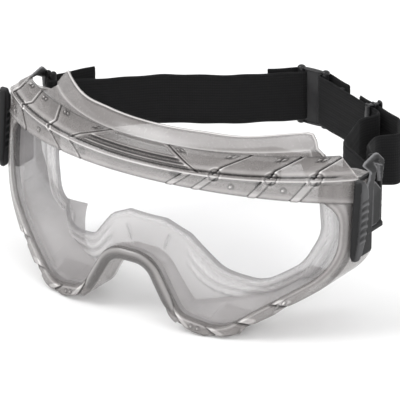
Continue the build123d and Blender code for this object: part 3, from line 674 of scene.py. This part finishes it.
def rim_shell():
    path = frame_path(CORNER_ROOF - 0.2)
    n = sideways(path)
    x0, z0 = path[:, 0], path[:, 1]
    on_side = (np.abs(x0) > HALF_WIDTH - 1.0)
    hidden = 0.9 * ease(z0 - APRON_SIDE, 0.6)
    pocket = POCKET_DEPTH * (on_side & (z0 > POCKET_Z[0]) & (z0 < POCKET_Z[1]))
    wall = WALL + (SIDE_WALL - WALL) * ease(np.abs(x0) - 74.0, 9.0) * ease(z0 + 54.0, 14.0)
    saw = saw_edge(x0, z0)
    nose = ease(20.0 - np.abs(x0), 4.0) * ease(-z0 - 30, 5)
    corner = np.clip((z0 + 21.0) / 11.0, 0, 0.999) * (np.abs(x0) > 80.0)
    rim = RIM + CORNER_WIDEN * (1 - np.sqrt(1 - corner**2))
    cols, painted_light_cols = [], []

    def spot(d):
        d = d + 0 * x0
        return x0 + n[:, 0] * d, z0 + n[:, 1] * d

    def on_front(d, inset, relief=True):
        d = np.maximum(d, saw + 0.15 * (hidden > 0))
        x, z = spot(d)
        h, painted_light = rim_marks(x, z, d * RIM / rim) if relief else (0, -0.15 + 0 * x)
        set_back = np.maximum(inset - h, inset - 0.9) + hidden + 1.2 * nose * (inset < 1)
        y = front_y(x, z, set_back)
        cols.append((x, y, np.maximum(z, floor_z(y))))
        painted_light_cols.append(painted_light)

    def at_depth(d, y, lift=0.0):
        x, z = spot(d)
        cols.append((x, y, np.maximum(z, floor_z(y) + lift)))
        painted_light_cols.append(0.16 + 0 * x)

    on_front(rim, LENS_INSET - 0.1, False)
    on_front(rim, 0.6, False)
    on_front(rim - 0.3, 0.12, False)
    for f in np.linspace(0, 1, 15):
        on_front((rim - 0.8) * (1 - f) + 0.9 * f, 0.0)
    on_front(0.4, 0.15)
    on_front(0.1, 0.5, False)
    front = cols[-1][1]
    rear = seal_y(x0) - rise(x0, z0, nearest(path, eye_path(0.2))) - 0.02
    edge = np.maximum(saw, 0.15 * (hidden > 0))
    lip = np.minimum(np.maximum(front + 0.3, -0.25), rear - 0.5)
    at_depth(edge, np.minimum(front + 0.6, lip))
    at_depth(edge, lip)
    at_depth(np.maximum(pocket, edge), lip + 0.04)
    for f in (0.15, 0.5, 0.85, 1.0):
        at_depth(np.maximum(pocket, edge * (1 - f)), lip + (rear - lip) * f)
    at_depth(wall, rear, WALL)
    shelf = LENS_INSET + LENS_T + LEDGE
    x, z = spot(RIM)
    shelf_y = np.minimum(front_y(x, z, shelf), rear - 0.1)
    at_depth(wall, np.minimum(shelf_y + 0.05, rear - 0.05), WALL)
    at_depth(np.maximum(RIM, wall), shelf_y, WALL)
    grip = np.minimum(front_y(x, z, LENS_INSET + LENS_T + 0.1), shelf_y - 0.05)
    at_depth(RIM, grip)
    x, z = spot(RIM_LIP - 0.15)
    at_depth(RIM_LIP - 0.15, np.minimum(front_y(x, z, LENS_INSET + LENS_T + 0.1), shelf_y - 0.05))
    cols.append((x, front_y(x, z, LENS_INSET - 0.1), np.maximum(z, floor_z(-40))))
    painted_light_cols.append(0 * x)
    points = np.stack([np.stack(c, 1) for c in cols], 1)
    return put("frame_rim_and_walls", points, ring_faces(len(path), len(cols)), FRAME_MAT,
               "goggle", painted_light=np.stack(painted_light_cols, 1))


def nose_roll():
    """The rolled edge of the nose arch."""
    path = frame_path(0.0, 0.7)
    n = sideways(path)
    keep = (np.abs(path[:, 0]) < 21.5) & (path[:, 1] > -65.0)
    path, n = path[keep], n[keep]
    x0, z0 = path[:, 0], path[:, 1]
    taper = 0.35 + 0.65 * ease(z0 + 65.5, 9.0)
    cols, painted_light_cols = [], []
    for k in range(18):
        a = 2 * math.pi * k / 18
        d = RIM / 2 - 0.1 + RIM / 2 * math.cos(a) * taper
        x, z = x0 + n[:, 0] * d, z0 + n[:, 1] * d
        cols.append((x, front_y(x, z, 1.0) - 1.35 * math.sin(a) * taper, z))
        # a painted highlight along the front of the roll, on its outer half
        painted_light_cols.append(0.35 * bell(math.sin(a) - 0.75, 0.18) * (math.cos(a) > 0) + 0 * x)
    points = np.stack([np.stack(c, 1) for c in cols], 1)
    return put("nose_arch_roll", points, ring_faces(len(x0), len(cols)), ROLL_MAT, "goggle",
               painted_light=np.stack(painted_light_cols, 1))


# ---- face seal and lens ----------------------------------------------------------------------
def nose_slit(x, z):
    """Two short slanting slits in the nose flap."""
    t = np.clip((-35.3 - z) / 5.0, 0, 1)
    return bell(np.hypot(np.abs(x) - 10.2 + 2.0 * t, z + 35.3 + 5.0 * t), 0.5)


def face_seal():
    outer = frame_path(CORNER_ROOF - 0.4, 0.9)
    n = sideways(outer)
    outer = outer + n * 0.2
    in_pocket = (outer[:, 1] > POCKET_Z[0] - 0.3) & (outer[:, 1] < POCKET_Z[1] + 0.3)
    limit = HALF_WIDTH - POCKET_DEPTH - 0.15
    outer[:, 0] = np.where(in_pocket, np.clip(outer[:, 0], -limit, limit), outer[:, 0])
    depth = seal_y(outer[:, 0]) - rise(*outer.T, nearest(outer, eye_path(0.2)))
    outer[:, 1] = np.maximum(outer[:, 1], floor_z(depth) + 0.2)
    top = np.linspace(-HALF_WIDTH + 1.1, HALF_WIDTH - 1.1, 190)
    drop = ROOF - 1.6 - 5.5 * ease(np.abs(top) - 46.0, 10.0)
    drop += (CORNER_ROOF - ROOF + 6.7) * ease(np.abs(top) - 60.0, 3.0)
    outer = np.vstack([outer, np.c_[top, drop]])
    eye = eye_path(0.6)
    dense = eye_path(0.2)

    def relief(x, z):
        """Rolled lip at the eye opening and the raised channel that follows it."""
        d = nearest(np.c_[x, z], dense)
        ax = np.abs(x)
        lip = 1.3 * bell(d - 1.0, 1.0)
        away = ease(ax - 17.0, 5.0)
        channel = 1.7 * ease(d - 3.4, 0.8) * ease(9.6 - d, 0.8) * away
        channel -= 1.0 * bell(d - 6.4, 0.75) * away
        slit = nose_slit(x, z)
        return lip + channel * ease(-z + 2, 4) - 0.6 * slit

    def front(x, z):
        d = nearest(np.c_[x, z], dense)
        return seal_y(x) + 0.03 - relief(x, z) - rise(x, z, d)

    def back(x, z):
        d = nearest(np.c_[x, z], dense)
        return seal_y(x) + SEAL_T - 0.3 * bell(d, 0.8) - rise(x, z, d)

    points, faces = sheet(outer, [eye], 0.95, front, back)
    x, z = points[:, 0], points[:, 2]
    d, away = nearest(np.c_[x, z], dense), ease(np.abs(x) - 17.0, 5.0)
    # painted shade at the opening's edge with a painted highlight just beyond, alternating painted
    # highlights and shade across the channel, painted shade in the nose slits
    painted_light = -0.42 * bell(d - 0.2, 0.5) + 0.2 * bell(d - 1.8, 0.6)
    painted_light += away * (-0.28 * bell(d - 3.4, 0.5) + 0.3 * bell(d - 4.6, 0.7)
                    - 0.3 * bell(d - 6.4, 0.55) + 0.25 * bell(d - 7.9, 0.6)
                    - 0.28 * bell(d - 9.7, 0.5))
    painted_light -= 0.4 * nose_slit(x, z)
    return put("face_seal_skin", points, faces, SEAL_MAT, "goggle", ["face_seal"],
               painted_light=painted_light)


def lens():
    path = frame_path(6.0, 0.8)
    edge = path + sideways(path) * RIM_LIP
    edge = edge[edge[:, 1] < LENS_TOP - 0.3]
    side = HALF_WIDTH - RIM_LIP
    top = np.linspace(-side, side, 190)
    outer = np.vstack([edge, np.c_[top, np.full(len(top), LENS_TOP)]])

    def front(x, z):
        return front_y(x, z, LENS_INSET)

    def back(x, z):
        return front_y(x, z, LENS_INSET + LENS_T)

    points, faces = sheet(outer, [], 1.8, front, back)
    return put("lens_panel", points, faces, LENS_MAT, "goggle", ["lens"])


# ---- webbing ---------------------------------------------------------------------------------
def unit(a, b):
    d = np.array(b, float) - np.array(a, float)
    return d / np.linalg.norm(d)


def beside(point, direction, along, across):
    """The plan point that lies along and to the left of a direction, from a point."""
    left = np.array([-direction[1], direction[0]])
    return np.array(point, float) + direction * along + left * across


def webbing(name, points, radii, wave, node_name):
    """A flat band on edge along a plan route, with soft waves and rounded edges."""
    path = rounded(points, radii, 0.6)
    n = sideways(path)
    along = np.r_[0, np.cumsum(np.linalg.norm(np.diff(path, axis=0), axis=1))]
    low, high = STRAP_TOP - STRAP_W, STRAP_TOP
    half = STRAP_T / 2
    section, across = [], []
    for v in np.linspace(0.0, 1.0, 27):
        section.append((v, 1.0))
    for v in np.linspace(1.0, 0.0, 27):
        section.append((v, -1.0))
    cols = []
    ripple = wave * (np.sin(along / 7.3 + 0.6) + 0.6 * np.sin(along / 3.9 + 2.0))
    for v, side in section:
        z = low + (high - low) * v
        edge = min(v, 1 - v) * STRAP_W
        thick = half * math.sqrt(max(0.0, 1 - (1 - min(edge, 0.7) / 0.7) ** 2))
        cord = 0.06 * math.cos(2 * math.pi * v * 19)
        lift = side * max(thick - 0.05 + cord * (edge > 0.7), 0.12)
        lift = lift + ripple * (0.35 + 0.65 * abs(2 * v - 1)) * (0.5 if v > 0.5 else -0.35)
        nudge = 0.12 * np.sin(along / 2.7 + 3 * v) * (abs(2 * v - 1) > 0.97)
        xy = path + n * (lift + 0 * along)[:, None]
        cols.append(np.c_[xy, z + nudge])
        across.append(z + side * 30)
    points3 = np.stack(cols, 1)
    uv = np.stack([np.stack([along, np.full(len(along), a)], 1) for a in across], 1)
    return put(name, points3, ring_faces(len(path), len(cols)), WEB_MAT, "headband",
               [node_name], uv.reshape(-1, 2), sharp=60)


def straps():
    bend, buckle_bend = 0.97 * CLIP_WRAP, 0.97 * BUCKLE_WRAP
    buckle_right = (BUCKLE_X - BUCKLE_PITCH / 2, BUCKLE_Y)
    bar_right = (-BAR_X, BAR_Y)
    back, mid, near = (-20.0, 66.5), (-43.0, 49.5), (18.0 - BAR_X, 35.5)
    to_buckle, to_bar = unit(back, buckle_right), unit(near, bar_right)
    webbing("webbing_right", [
        beside(buckle_right, to_buckle, -FOLD, BUCKLE_WRAP),
        beside(buckle_right, to_buckle, BUCKLE_WRAP, BUCKLE_WRAP),
        beside(buckle_right, to_buckle, BUCKLE_WRAP, -BUCKLE_WRAP),
        beside(back, to_buckle, 0, -BUCKLE_WRAP),
        mid,
        beside(near, to_bar, 0, CLIP_WRAP),
        beside(bar_right, to_bar, CLIP_WRAP, CLIP_WRAP),
        beside(bar_right, to_bar, CLIP_WRAP, -CLIP_WRAP),
        (1.5 - BAR_X, 31.0),
        (6.5 - BAR_X, 41.0),
    ], [buckle_bend, buckle_bend, 25, 25, 25, bend, bend, 15], 0.10, "strap_right")

    buckle_left = (BUCKLE_X + BUCKLE_PITCH / 2, BUCKLE_Y)
    bar_left = (BAR_X, BAR_Y)
    away = unit(buckle_left, (29.0, 79.8))
    slider = beside(buckle_left, away, SLIDER_AT, -BUCKLE_WRAP)
    inner_front = (BAR_X - 18.0, 32.0)
    to_left = unit(inner_front, bar_left)
    webbing("webbing_left", [
        beside(buckle_left, away, FOLD, BUCKLE_WRAP),
        beside(buckle_left, away, -BUCKLE_WRAP, BUCKLE_WRAP),
        beside(buckle_left, away, -BUCKLE_WRAP, -BUCKLE_WRAP),
        beside(slider, away, SLIDER_L + 1.5, 0),
        (BAR_X - 27.0, 55.0),
        (BAR_X - 22.5, 41.0),
        beside(inner_front, to_left, 0, -CLIP_WRAP),
        beside(bar_left, to_left, CLIP_WRAP, -CLIP_WRAP),
        beside(bar_left, to_left, CLIP_WRAP, CLIP_WRAP),
        (BAR_X - 9.5, 32.5),
        (BAR_X - 12.0, 43.5),
        (BAR_X - 3.5, 50.5),
        beside(slider, away, SLIDER_L + 10.0, LAYER_STEP),
        beside(slider, away, -12.0, LAYER_STEP),
    ], [buckle_bend, buckle_bend, 3.5, 9, 12, 12, bend, bend, 10, 5, 4.5, 6], 0.08, "strap_left")


# ---- hard plastic parts ----------------------------------------------------------------------
def softened(node_name, finish, body, width, segments=3):
    """A copy of a CAD part with moulded, rounded edges. It stands for that part."""
    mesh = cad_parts[node_name].data.copy()
    mesh.materials.clear()
    work = bmesh.new()
    work.from_mesh(mesh)
    bmesh.ops.remove_doubles(work, verts=work.verts, dist=1e-6)
    bmesh.ops.dissolve_limit(
        work, angle_limit=math.radians(1), verts=work.verts, edges=work.edges
    )
    sharp = [e for e in work.edges if e.is_manifold and e.calc_face_angle() > math.radians(35)]
    bmesh.ops.bevel(work, geom=sharp, offset=width * MM, segments=segments, profile=0.6,
                    affect="EDGES", clamp_overlap=True)
    bmesh.ops.recalc_face_normals(work, faces=work.faces)
    work.to_mesh(mesh)
    work.free()
    mesh.materials.append(finish)
    mesh.shade_smooth()
    mesh.set_sharp_from_angle(angle=math.radians(35))
    piece = bpy.data.objects.new(node_name + "_moulded", mesh)
    bpy.context.scene.collection.objects.link(piece)
    return dress(piece, body, [node_name])


def bars(name, places, turn, low, high, wide, deep, finish, body, nodes, web=0.0):
    """Upright bars with rounded ends, joined by thin bridges above and below the webbing."""
    points, faces = [], []
    count = 20

    def column(cx, cy, z0, z1, rx, ry, dome):
        start = len(points)
        rings = [(z0 + dome * (1 - math.cos(t)), math.sin(t)) for t in np.linspace(0.25, 1.57, 6)]
        rings += [(z1 - dome * (1 - math.cos(t)), math.sin(t)) for t in np.linspace(1.57, 0.25, 6)]
        for z, size in rings:
            for k in range(count):
                a = 2 * math.pi * k / count
                u = rx * size * math.copysign(abs(math.cos(a)) ** 0.8, math.cos(a))
                v = ry * size * math.copysign(abs(math.sin(a)) ** 0.8, math.sin(a))
                points.append((cx + turn[0] * u - turn[1] * v, cy + turn[1] * u + turn[0] * v, z))
        faces.extend(tuple(i + start for i in f) for f in ring_faces(len(rings), count))

    for cx, cy in places:
        column(cx, cy, low, high, wide, deep, 1.2)
    if web:
        column(*np.mean(places, axis=0), low + 0.5, high - 0.5, web, 0.45 * deep, 0.5)
    (ax, ay), (bx, by) = places[0], places[-1]
    span = math.hypot(bx - ax, by - ay) / 2
    aligned = abs((bx - ax) * turn[0] + (by - ay) * turn[1]) > span
    rx, ry = (span, 0.8 * deep) if aligned else (0.8 * wide, span)
    for z0, z1 in ((low + 0.7, STRAP_TOP - STRAP_W - 0.35), (STRAP_TOP + 0.35, high - 0.7)):
        column((ax + bx) / 2, (ay + by) / 2, z0, z1, rx, ry, 0.4)
    return put(name, points, faces, finish, body, nodes, sharp=60)


def buckle_and_slider():
    half = BUCKLE_PITCH / 2
    low, high = STRAP_TOP - STRAP_W - 2.2, STRAP_TOP + 2.2
    bars("rear_buckle_moulded", [(BUCKLE_X - half, BUCKLE_Y), (BUCKLE_X + half, BUCKLE_Y)],
         (1.0, 0.0), low, high, 1.7, 1.6, GLOSS_MAT, "headband", ["rear_buckle"], web=half - 0.5)
    away = unit((BUCKLE_X + half, BUCKLE_Y), (29.0, 79.8))
    slider = beside((BUCKLE_X + half, BUCKLE_Y), away, SLIDER_AT, -BUCKLE_WRAP)
    middle = beside(slider, away, 0, LAYER_STEP / 2)
    low, high = STRAP_TOP - STRAP_W - 1.7, STRAP_TOP + 1.7
    places = [tuple(beside(middle, away, 0, off)) for off in (-3.1, 0.0, 3.1)]
    bars("strap_slider_moulded", places, tuple(away), low, high, 1.7, 0.6, GLOSS_MAT, "slider",
         ["strap_slider"])


ARM_INNER, ARM_SPREAD = 81.25, 3.9    # depth of the arm's rear frame, and its step out to the plate
ARM_THICK, ARM_THIN = 1.9, 0.65       # the arm's thickness, and how much thinner its front is
PLATE_X = (85.1, 86.4)
PAD_CREST, PAD_DOME, RIB_PITCH = 87.2, 1.6, 3.1
PIN_END = 87.0
# outlines of the clip's pieces in side view: the arm's frame and its window, its plate, the pad
ARM_LOOP = [(8.2, 1.4), (9.8, 2.4), (16.4, 3.8), (18.4, 3.6), (22.9, -0.6), (22.4, -4.4),
            (21.4, -9.0), (21.2, -26.6), (5.0, -26.6), (2.4, -22.0), (2.4, -9.0), (6.6, -3.0)]
ARM_WINDOW = [(18.8, -1.4), (14.4, 0.6), (12.0, -0.6), (10.8, -3.0), (9.6, -9.0), (8.6, -24.2),
              (19.3, -24.2), (19.7, -9.0)]
PLATE_LOOP = [(4.0, -5.2), (11.0, -5.2), (15.7, -10.0), (14.9, -22.3), (13.7, -23.8),
              (8.3, -24.2), (6.5, -25.8), (3.2, -26.0), (1.3, -21.0), (1.3, -9.5)]
PAD_LOOP = [(-3.8, -1.0), (-2.2, 0.3), (0.6, -1.4), (2.4, -4.6), (3.4, -13.0), (2.2, -22.0),
            (0.9, -26.6), (-0.6, -32.0), (-2.6, -34.4), (-5.4, -34.4), (-6.6, -31.0)]


def loop_of(points, radius, step):
    """A closed outline with its corners rounded."""
    pts = [np.array(p) for p in points]
    start = (pts[0] + pts[1]) / 2
    line = [start] + pts[1:] + [pts[0], start]
    return rounded(line, [radius] * len(pts), step)[:-1]


def side_piece(name, outline, holes, side, near, far, soft, finish, body, nodes, painted_light):
    """A plate drawn in side view between two depths, with its edges rounded off."""
    dense = np.vstack([outline] + holes)

    def shave(y, z):
        d = np.clip(nearest(np.c_[y, z], dense) / soft, 0, 1)
        return soft * (1 - np.sqrt(1 - (1 - d) ** 2))

    points, faces = sheet(outline, holes, 0.45, lambda y, z: far(y, z) - shave(y, z),
                          lambda y, z: near(y, z) + 0.7 * shave(y, z))
    y, z = points[:, 0], points[:, 2]
    shades = painted_light(y, z, nearest(np.c_[y, z], dense))
    points = np.c_[side * points[:, 1], y, z]
    return put(name, points, faces, finish, body, nodes, painted_light=shades)


def clip(side, word):
    def arm_near(y, z):
        return ARM_INNER + ARM_SPREAD * ease(1.5 - z, 2.0) * ease(18.5 - y, 2.0)

    def arm_painted_light(y, z, d):
        # a painted highlight along the frame's upper edges, and a little lighter at the top
        return 0.30 * bell(d - 0.1, 0.3) * (z > -9) + 0.05 * ease(z - 0.5, 2.0)

    def arm_far(y, z):
        return arm_near(y, z) + ARM_THICK - ARM_THIN * ease(18.5 - y, 2.0)

    side_piece(f"clip_arm_{word}_frame", loop_of(ARM_LOOP, 0.7, 0.35),
               [loop_of(ARM_WINDOW, 0.6, 0.35)], side, arm_near, arm_far, 0.5, CLIP_MAT,
               "headband", [f"clip_arm_{word}"], arm_painted_light)

    def plate_far(y, z):
        return PLATE_X[1] - 0.35 * ease(9.0 - y, 0.5)

    def plate_painted_light(y, z, d):
        # a painted highlight round the plate's edge and along its step
        return 0.34 * bell(d - 0.15, 0.3) + 0.16 * bell(y - 9.0, 0.3) * (z < -6.5)

    side_piece(f"clip_arm_{word}_plate", loop_of(PLATE_LOOP, 0.8, 0.35), [], side,
               lambda y, z: PLATE_X[0] + 0 * y, plate_far, 0.5, CLIP_MAT, "headband", [],
               plate_painted_light)

    def pad_middle(z):
        return -0.6 - 2.6 * np.clip((-z - 8.0) / 24.0, 0, 1)

    def ribs(y, z):
        across = y - pad_middle(z)
        wave = np.sin((z + 8.2 + 0.07 * across**2) * 2 * np.pi / RIB_PITCH)
        here = ease(-z - 8.5, 1.5) * ease(z + 27.5, 1.5) * ease(across + 2.2, 0.9)
        return wave * here, here

    def pad_far(y, z):
        across = (y - pad_middle(z)) / 6.0
        dome = PAD_CREST + PAD_DOME * np.sqrt(np.clip(1 - across**2, 0.05, 1))
        dome -= 0.9 * ease(-z - 24.0, 11.0)
        wave, here = ribs(y, z)
        groove = 0.5 * bell(y - pad_middle(z) + 2.6, 0.4) * ease(-z - 4.0, 2.0)
        return dome + 0.35 * np.maximum(wave, -0.6) - groove - 0.15 * here

    def pad_near(y, z):
        return 85.15 + 1.35 * ease(y + 0.9, 0.5)

    def pad_painted_light(y, z, d):
        wave, here = ribs(y, z)
        # painted shade on the pad's front part, painted highlights and shade on the ribs, a painted
        # highlight along the rear edge off the ribs
        front = ease(pad_middle(z) - 2.4 - y, 0.5)
        edge = 0.16 * bell(d - 0.3, 0.4) * (y > pad_middle(z))
        return -0.30 * front + 0.12 * wave - 0.05 * here + edge * (1 - here) + 0.05

    side_piece(f"grip_pad_{word}_ribbed", loop_of(PAD_LOOP, 0.9, 0.35), [], side, pad_near,
               pad_far, 0.9, PAD_MAT, "goggle", [f"grip_pad_{word}"], pad_painted_light)


def hard_parts():
    for side, word in ((1, "left"), (-1, "right")):
        clip(side, word)
        softened(f"clip_base_{word}", CLIP_MAT, "goggle", 0.3)
        pin = softened(f"pivot_pin_{word}", CLIP_MAT, "goggle", 0.2)
        for v in pin.data.vertices:
            v.co.x = max(-PIN_END * MM, min(PIN_END * MM, v.co.x))
        bar_low = STRAP_TOP - STRAP_W - 2.0
        bars(f"clip_bar_{word}", [(side * BAR_X, BAR_Y), (side * (BAR_X + 2.6), BAR_Y)],
             (1.0, 0.0), bar_low, STRAP_TOP + 3.0, 1.25, 1.25, CLIP_MAT, "headband", [])
        softened(f"lower_vent_cover_{word}", FRAME_MAT, "goggle", 0.25)
    softened("upper_vent_baffle", ROLL_MAT, "goggle", 0.2)
    softened("strap_tacks", THREAD_MAT, "headband", 0.25)


# ---- stage -----------------------------------------------------------------------------------
CAMERA_AZ, CAMERA_EL, CAMERA_FAR = math.radians(34.0), math.radians(23.7), 1.8
CAMERA_TARGET = Vector((0.023, -0.020, -0.0175))


def stage():
    bpy.ops.mesh.primitive_grid_add(x_subdivisions=8, y_subdivisions=8, size=6.0,
                                    location=(0, 0, CAD_BOX[0][2] - 0.0004))
    floor = bpy.context.object
    floor.name = "studio_floor"
    paint, shader, node, link = material("studio_floor_white")
    place = node("ShaderNodeTexCoord").outputs["Object"]
    noise = node("ShaderNodeTexNoise", links=[(place, "Vector")], Scale=3.0)
    link(ramp(node, noise.outputs["Fac"], (0.90, 0.90, 0.90), (0.92, 0.92, 0.92)), "Base Color")
    shader.inputs["Roughness"].default_value = 0.9
    shader.inputs["Specular IOR Level"].default_value = 0.1
    floor.data.materials.append(paint)

    world = bpy.data.worlds.new("studio_world")
    world.use_nodes = True
    world.node_tree.nodes["Background"].inputs["Color"].default_value = (1, 1, 1, 1)
    world.node_tree.nodes["Background"].inputs["Strength"].default_value = 1.0
    bpy.context.scene.world = world
    for name, place, size, power in (
        ("key_light", (-0.9, -0.9, 1.3), 0.9, 14.0),
        ("side_light", (1.3, -0.5, 0.7), 0.7, 6.0),
    ):
        lamp = bpy.data.lights.new(name, "AREA")
        lamp.size, lamp.energy = size, power
        light = bpy.data.objects.new(name, lamp)
        light.location = place
        light.rotation_euler = Vector(place).to_track_quat("Z", "Y").to_euler()
        bpy.context.scene.collection.objects.link(light)

    lens_data = bpy.data.cameras.new("photo_camera")
    lens_data.lens, lens_data.sensor_width = 405.0, 36.0
    camera = bpy.data.objects.new("photo_camera", lens_data)
    back = Vector((math.sin(CAMERA_AZ) * math.cos(CAMERA_EL),
                   -math.cos(CAMERA_AZ) * math.cos(CAMERA_EL), math.sin(CAMERA_EL)))
    camera.location = CAMERA_TARGET + back * CAMERA_FAR
    camera.rotation_euler = back.to_track_quat("Z", "Y").to_euler()
    bpy.context.scene.collection.objects.link(camera)
    bpy.context.scene.camera = camera
    bpy.context.scene.view_settings.view_transform = "Standard"


stage()
top_shell()
rim_shell()
nose_roll()
face_seal()
lens()
straps()
hard_parts()
buckle_and_slider()
